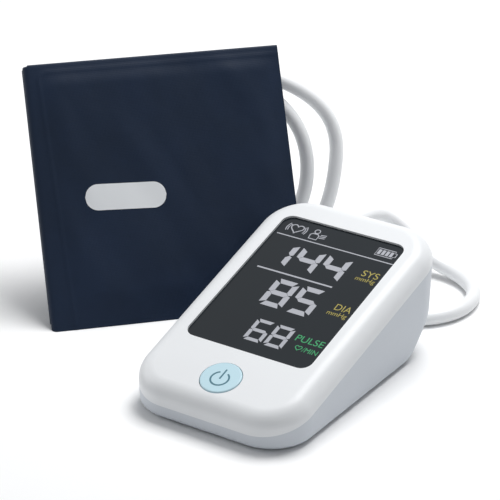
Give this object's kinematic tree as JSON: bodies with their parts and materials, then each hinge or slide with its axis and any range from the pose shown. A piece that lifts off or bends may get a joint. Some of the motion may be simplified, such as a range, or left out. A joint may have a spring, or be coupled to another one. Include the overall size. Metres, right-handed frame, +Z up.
{
  "type": "upper arm blood pressure monitor",
  "caption": "Table-top arm blood pressure monitor with sloped display, power button, battery door, plug-in air hose and a folded cuff that leans on the hose behind it.",
  "frame": {"origin": "on the table the feet stand on, below the centre of the monitor's base outline", "axes": "+X to the reader's right, +Y to the monitor's rear, out of the power inlet, +Z up"},
  "size_m": [0.2385, 0.2271, 0.1233],
  "materials": {
    "white_shell": "fine satin",
    "grey_shell": "fine satin",
    "button_white": "satin",
    "dark_lens": "polished",
    "display_glass": "smooth",
    "white_plastic": "moulded",
    "grey_plastic": "moulded",
    "board_green": "solder mask",
    "component_black": "moulded",
    "screw_steel": "plated",
    "contact_nickel": "nickel plated",
    "battery_can": "plain sleeve",
    "grey_rubber": "moulded",
    "hose_white": "soft, smooth",
    "navy_plastic": "moulded",
    "navy_cloth": "coated cloth",
    "bladder_film": "film",
    "black_fabric": "hook and loop"
  },
  "bodies": {
    "monitor": {"upper_case": "white_shell", "lower_case": "grey_shell", "display_lens": "dark_lens", "display_cell": "display_glass", "display_frame": "white_plastic", "main_board": "board_green", "board_components": "component_black", "board_screws": "screw_steel", "case_screws": "screw_steel", "power_switch": "component_black", "pressure_sensor": "component_black", "beeper": "component_black", "batteries": "battery_can", "front_battery_contacts": "contact_nickel", "rear_battery_contacts": "contact_nickel", "rubber_feet": "grey_rubber", "pump_motor": "contact_nickel", "pump_head": "component_black", "pump_bushes": "grey_rubber", "pump_straps": "contact_nickel", "air_socket": "grey_plastic", "air_manifold": "grey_rubber", "release_valve": "component_black", "sensor_tube": "hose_white", "dc_jack": "component_black", "dc_jack_pin": "contact_nickel"},
    "power_button": {"power_button": "button_white", "switch_plunger": "white_plastic"},
    "battery_door": {"battery_door": "grey_shell"},
    "cuff_and_hose": {"air_plug": "hose_white", "plug_seal": "grey_rubber", "air_hose": "hose_white", "port_elbow": "hose_white", "cuff_port": "navy_plastic", "cuff_cover": "navy_cloth", "air_bladder": "bladder_film", "hook_patch": "black_fabric", "loop_pad": "black_fabric"}
  },
  "joints": [
    {"name": "power_button_press", "type": "slide", "parent": "monitor", "child": "power_button", "axis": [0, 0.2773, -0.9608], "range_m": [0, 0.0008], "stiffness_N_per_m": 1500, "springref_m": -0.001},
    {"name": "battery_door_slide", "type": "slide", "parent": "monitor", "child": "battery_door", "axis": [0, 1, 0], "range_m": [0, 0.006]},
    {"name": "air_plug_pull", "type": "slide", "parent": "monitor", "child": "cuff_and_hose", "axis": [0, 1, 0], "range_m": [0, 0.015]}
  ]
}
